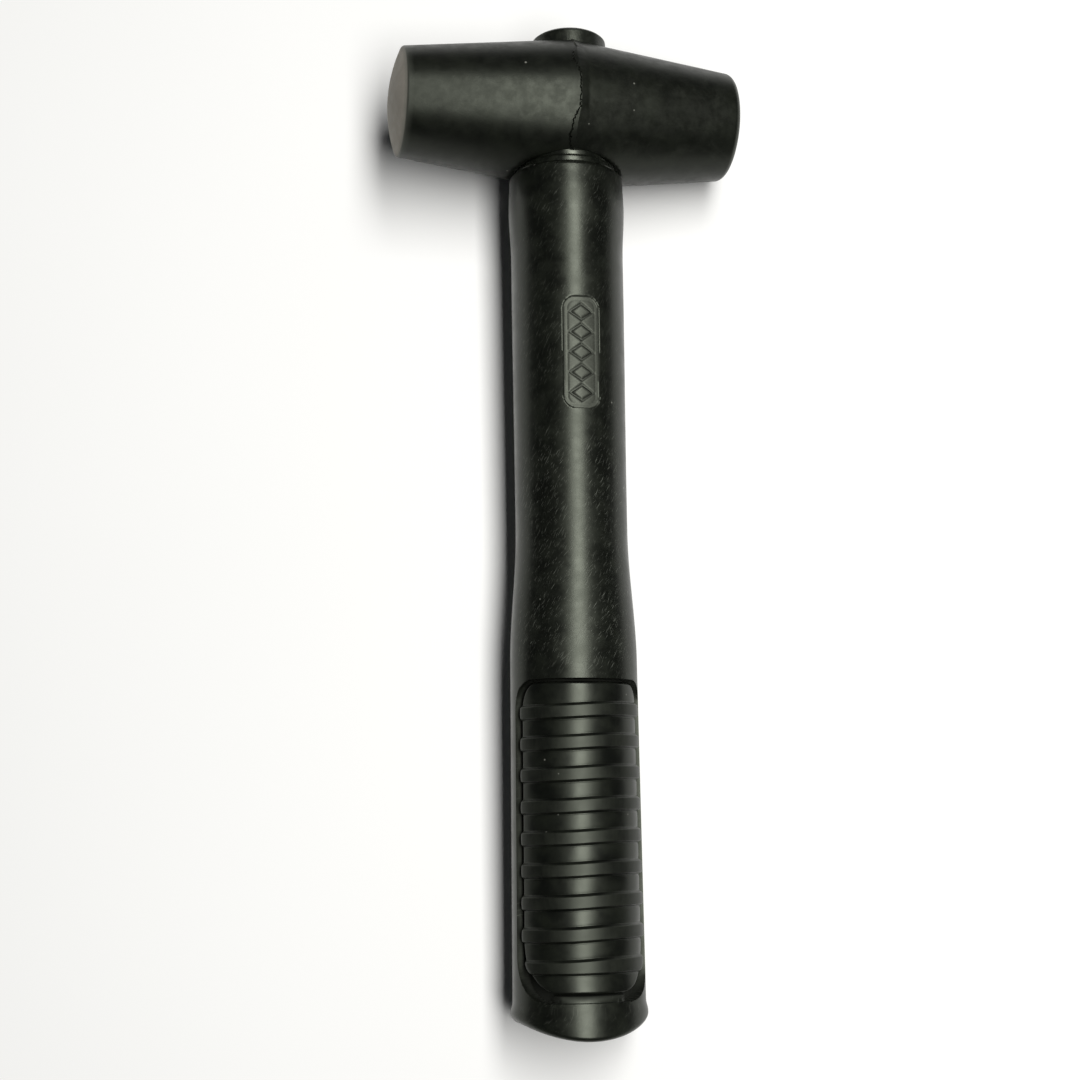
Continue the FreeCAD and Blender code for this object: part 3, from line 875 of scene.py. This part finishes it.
def jacket_material():
    finish = Finish("jacket_satin_plastic", specular=0.38, tint=OLIVE_GLOSS)
    surface = finish.coordinates("Surface")
    mottle = finish.noise(finish.coordinates(), 0.16, 5.0, 0.65)
    fine = finish.noise(finish.coordinates(), 2.2, 3.0, 0.6)
    wear = finish.noise(finish.coordinates(), 0.035, 2.0, 0.5)
    layers = [(34, 0.15, 3.6, 0.060, 1.0), (46, 0.14, 2.6, 0.045, 9.0), (22, 0.15, 4.4, 0.045, 17.0),
              (-24, 0.14, 3.0, 0.005, 23.0)]
    marks = None
    for degrees, width, length, amount, seed in layers:
        layer = hairlines(finish, surface, degrees, width, length, amount, seed)
        marks = layer if marks is None else finish.math("MAXIMUM", marks, layer)
    wear = finish.math("ADD", finish.remap(wear, 0.40, 0.62, 0.15, 0.75),
                       finish.math("MULTIPLY", finish.mask("handled"), 0.8))
    marks = finish.math("MULTIPLY", marks, wear)
    label, mark, groove_shade = finish.mask("label"), finish.mask("mark"), finish.mask("groove_shade")
    colour = finish.mix(finish.remap(mottle, 0.35, 0.68), BLACK, OLIVE)
    colour = finish.mix(finish.math("MULTIPLY", marks, 0.8), colour, SCRATCH_AND_HIGHLIGHT)
    label_grey = finish.math("MULTIPLY", label, finish.remap(fine, 0.3, 0.7, 0.6, 1.0))
    colour = finish.mix(label_grey, colour, LABEL_GREY)
    colour = finish.mix(mark, colour, PIT_AND_SHADE)
    colour = finish.mix(finish.math("MULTIPLY", specks(finish, 0.28, 0.10), 0.5), colour, DUST)
    # painted shade: the recess walls round the inserts are painted near black
    colour = finish.mix(groove_shade, colour, PIT_AND_SHADE)
    roughness = finish.math("ADD", finish.remap(mottle, 0.3, 0.7, 0.28, 0.38),
                            finish.math("MULTIPLY", marks, 0.12))
    roughness = finish.math("ADD", roughness, finish.math("MULTIPLY", label, 0.10))
    roughness = finish.math("ADD", roughness, finish.math("MULTIPLY", groove_shade, 0.5))
    finish.bump(mottle, 0.14, 0.25)
    finish.bump(fine, 0.10, 0.05)
    finish.bump(marks, 0.2, 0.02)
    return finish.finish(colour, roughness)


def head_material():
    finish = Finish("head_moulded_rubber", specular=0.25, tint=OLIVE_GLOSS)
    smudge = finish.noise(finish.coordinates(), 0.09, 5.0, 0.65, 0.6)
    mottle = finish.noise(finish.coordinates(), 0.30, 5.0, 0.65)
    grain = finish.noise(finish.coordinates(), 3.0, 2.0, 0.5)
    blotch = finish.noise(finish.coordinates(), 0.13, 6.0, 0.7, 1.0)
    face, rim, dull = finish.mask("face"), finish.mask("rim"), finish.mask("dull")
    colour = finish.mix(finish.remap(smudge, 0.35, 0.68), BLACK, OLIVE)
    scuffs = finish.math("MULTIPLY", finish.remap(blotch, 0.50, 0.72), dull)
    colour = finish.mix(finish.math("MULTIPLY", scuffs, 0.45), colour, CHALK)
    colour = finish.mix(finish.math("MULTIPLY", specks(finish, 0.22, 0.12), 0.6), colour, DUST)
    # painted reflection: the high face is painted pale grey, partly as dust and partly as a reflection
    dust_and_reflection = finish.math("MULTIPLY", face, finish.remap(smudge, 0.2, 0.7, 1.0, 0.72))
    colour = finish.mix(dust_and_reflection, colour, FACE_DUST_AND_REFLECTION)
    # painted highlight along the rims of the faces
    colour = finish.mix(finish.math("MULTIPLY", rim, 0.35), colour, SCRATCH_AND_HIGHLIGHT)
    roughness = finish.remap(mottle, 0.25, 0.75, 0.32, 0.46)
    roughness = finish.math("ADD", roughness, finish.math("MULTIPLY", dull, -0.02))
    roughness = finish.math("ADD", roughness, finish.math("MULTIPLY", face, 0.25))
    finish.bump(mottle, 0.12, 0.24)
    finish.bump(grain, 0.08, 0.05)
    return finish.finish(colour, roughness)


def grip_material():
    finish = Finish("grip_soft_rubber", specular=0.38, tint=OLIVE_GLOSS)
    mottle = finish.noise(finish.coordinates(), 0.15, 4.0, 0.6)
    streak = finish.noise(finish.coordinates(scale=(0.1, 0.1, 1.0)), 2.4, 3.0, 0.6)
    grain = finish.noise(finish.coordinates(), 3.0, 2.0, 0.5)
    rib, side = finish.mask("rib"), finish.mask("side")
    colour = finish.mix(finish.remap(mottle, 0.35, 0.7), (0.0025, 0.0029, 0.0024, 1), OLIVE)
    chalky = finish.math("MULTIPLY", rib, finish.remap(streak, 0.3, 0.7, 0.0, 0.25))
    colour = finish.mix(chalky, colour, CHALK)
    colour = finish.mix(finish.math("MULTIPLY", specks(finish, 0.3, 0.05), 0.4), colour, DUST)
    # painted shade on the insert's sides and underside
    colour = finish.mix(side, colour, PIT_AND_SHADE)
    roughness = finish.remap(mottle, 0.3, 0.7, 0.29, 0.37)
    roughness = finish.math("ADD", roughness, finish.math("MULTIPLY", rib, 0.09))
    finish.bump(mottle, 0.10, 0.2)
    finish.bump(streak, 0.10, 0.06)
    finish.bump(grain, 0.05, 0.04)
    return finish.finish(colour, roughness)


def cap_material():
    finish = Finish("cap_moulded_plastic", specular=0.35, tint=OLIVE_GLOSS)
    mottle = finish.noise(finish.coordinates(), 0.5, 4.0, 0.6)
    stipple = finish.noise(finish.coordinates(), 2.0, 2.0, 0.6)
    colour = finish.mix(finish.remap(mottle, 0.35, 0.7), BLACK, OLIVE)
    finish.bump(mottle, 0.2, 0.1)
    finish.bump(stipple, 0.35, 0.12)
    return finish.finish(colour, finish.remap(mottle, 0.3, 0.7, 0.34, 0.48))


def ring_material(name, specular):
    """Satin black, mottled, with a fine bump."""
    finish = Finish(name, specular=specular, tint=OLIVE_GLOSS)
    mottle = finish.noise(finish.coordinates(), 0.5, 4.0, 0.6)
    colour = finish.mix(finish.remap(mottle, 0.35, 0.7), BLACK, OLIVE)
    finish.bump(mottle, 0.2, 0.08)
    return finish.finish(colour, finish.remap(mottle, 0.3, 0.7, 0.22, 0.32))


def plain_material(name, tones, roughness, metallic, scale):
    """Mottled metal or plastic for the pieces inside: tones and roughness are (low, high)."""
    finish = Finish(name, metallic=metallic)
    grain = finish.noise(finish.coordinates(scale=scale), 1.0, 4.0, 0.6)
    finish.bump(grain, 0.15, 0.03)
    low, high = ((*tone, 1) for tone in tones)
    return finish.finish(finish.mix(grain, low, high), finish.remap(grain, 0.3, 0.7, *roughness))


def set_material(piece, material):
    piece.data.materials.clear()
    piece.data.materials.append(material)


def finish_hidden_nodes():
    """Materials for the pieces inside, which the CAD's own solids show."""
    steel = plain_material("drawn_steel", ((0.32, 0.33, 0.34), (0.5, 0.5, 0.51)), (0.3, 0.45), 1.0,
                           (0.2, 2, 2))
    zinc = plain_material("zinc_plated_steel", ((0.45, 0.46, 0.45), (0.62, 0.62, 0.6)), (0.25, 0.4), 1.0,
                          (1.5, 1.5, 1.5))
    plug = plain_material("plug_plastic", ((0.02, 0.02, 0.02), (0.04, 0.04, 0.04)), (0.4, 0.55), 0.0,
                          (0.6, 0.6, 0.6))
    given = {"handle_core": steel, "core_top_plug": steel, "core_butt_plug": plug,
             "retaining_screw": zinc, "retaining_washer": zinc, "spring_washer": zinc}
    for name, material in given.items():
        set_material(frame["nodes"][name], material)


# ---------------------------------------------------------------- stage

def add_floor():
    steps = np.linspace(-FLOOR_HALF, FLOOR_HALF, 9)
    points = [(x, y, 0) for y in steps for x in steps]
    count = len(steps)
    faces = [(j * count + i, j * count + i + 1, (j + 1) * count + i + 1, (j + 1) * count + i)
             for j in range(count - 1) for i in range(count - 1)]
    mesh = bpy.data.meshes.new("floor")
    mesh.from_pydata(points, [], faces)
    floor = bpy.data.objects.new("floor", mesh)
    bpy.context.scene.collection.objects.link(floor)
    finish = Finish("floor_pale", specular=0.1)
    tone = finish.noise(finish.coordinates(), 0.004, 2.0)
    set_material(floor, finish.finish(finish.mix(tone, (0.80, 0.80, 0.80, 1), (0.84, 0.84, 0.84, 1)), 0.9))


def add_light():
    """A soft box that points straight down, in a dim room."""
    light = bpy.data.lights.new("overhead", "AREA")
    light.shape = "RECTANGLE"
    light.size, light.size_y = LIGHT_SIZE
    light.energy = LIGHT_WATTS
    light.color = LIGHT_COLOUR
    lamp = bpy.data.objects.new("overhead", light)
    lamp.location = LIGHT_PLACE
    lamp.rotation_euler = Vector((0, 0, -1)).to_track_quat("-Z", "Y").to_euler()
    bpy.context.scene.collection.objects.link(lamp)
    world = bpy.data.worlds.new("dim_room")
    world.use_nodes = True
    world.node_tree.nodes["Background"].inputs["Color"].default_value = ROOM_COLOUR
    world.node_tree.nodes["Background"].inputs["Strength"].default_value = ROOM_STRENGTH
    bpy.context.scene.world = world
    bpy.context.scene.view_settings.view_transform = "Standard"


def add_camera():
    turn = (Matrix.Rotation(math.radians(CAMERA_ROLL), 3, "Y")
            @ Matrix.Rotation(math.radians(CAMERA_PITCH), 3, "X")
            @ Matrix.Rotation(math.radians(CAMERA_YAW), 3, "Z"))
    right, forward, up = (AXES @ Vector(turn[i]) for i in range(3))
    offset = right * CAMERA_ACROSS - up * CAMERA_DOWN - forward * CAMERA_DISTANCE
    basis = Matrix((right, up, -forward)).transposed().to_4x4()
    data = bpy.data.cameras.new("camera")
    data.sensor_width = SENSOR
    data.lens = LENS
    data.clip_start = 0.01
    camera = bpy.data.objects.new("camera", data)
    camera.matrix_world = Matrix.Translation(CENTRE + offset * MM) @ basis
    bpy.context.scene.collection.objects.link(camera)
    bpy.context.scene.camera = camera


def place(piece, node, material):
    set_material(piece, material)
    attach(piece, "root")
    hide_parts(node)


add_camera()
add_floor()
add_light()
place(head_block(), "head_block", head_material())
place(handle_jacket(), "handle_jacket", jacket_material())
grip = grip_material()
place(grip_insert("insert_front", 1), "grip_insert_front", grip)
place(grip_insert("insert_back", -1), "grip_insert_back", grip)
place(top_cap(), "top_cap", cap_material())
place(eye_bush(), "eye_bush", ring_material("bush_black_oxide", 0.5))
place(seat_ring(), "seat_ring", ring_material("ring_moulded_rubber", 0.45))
finish_hidden_nodes()
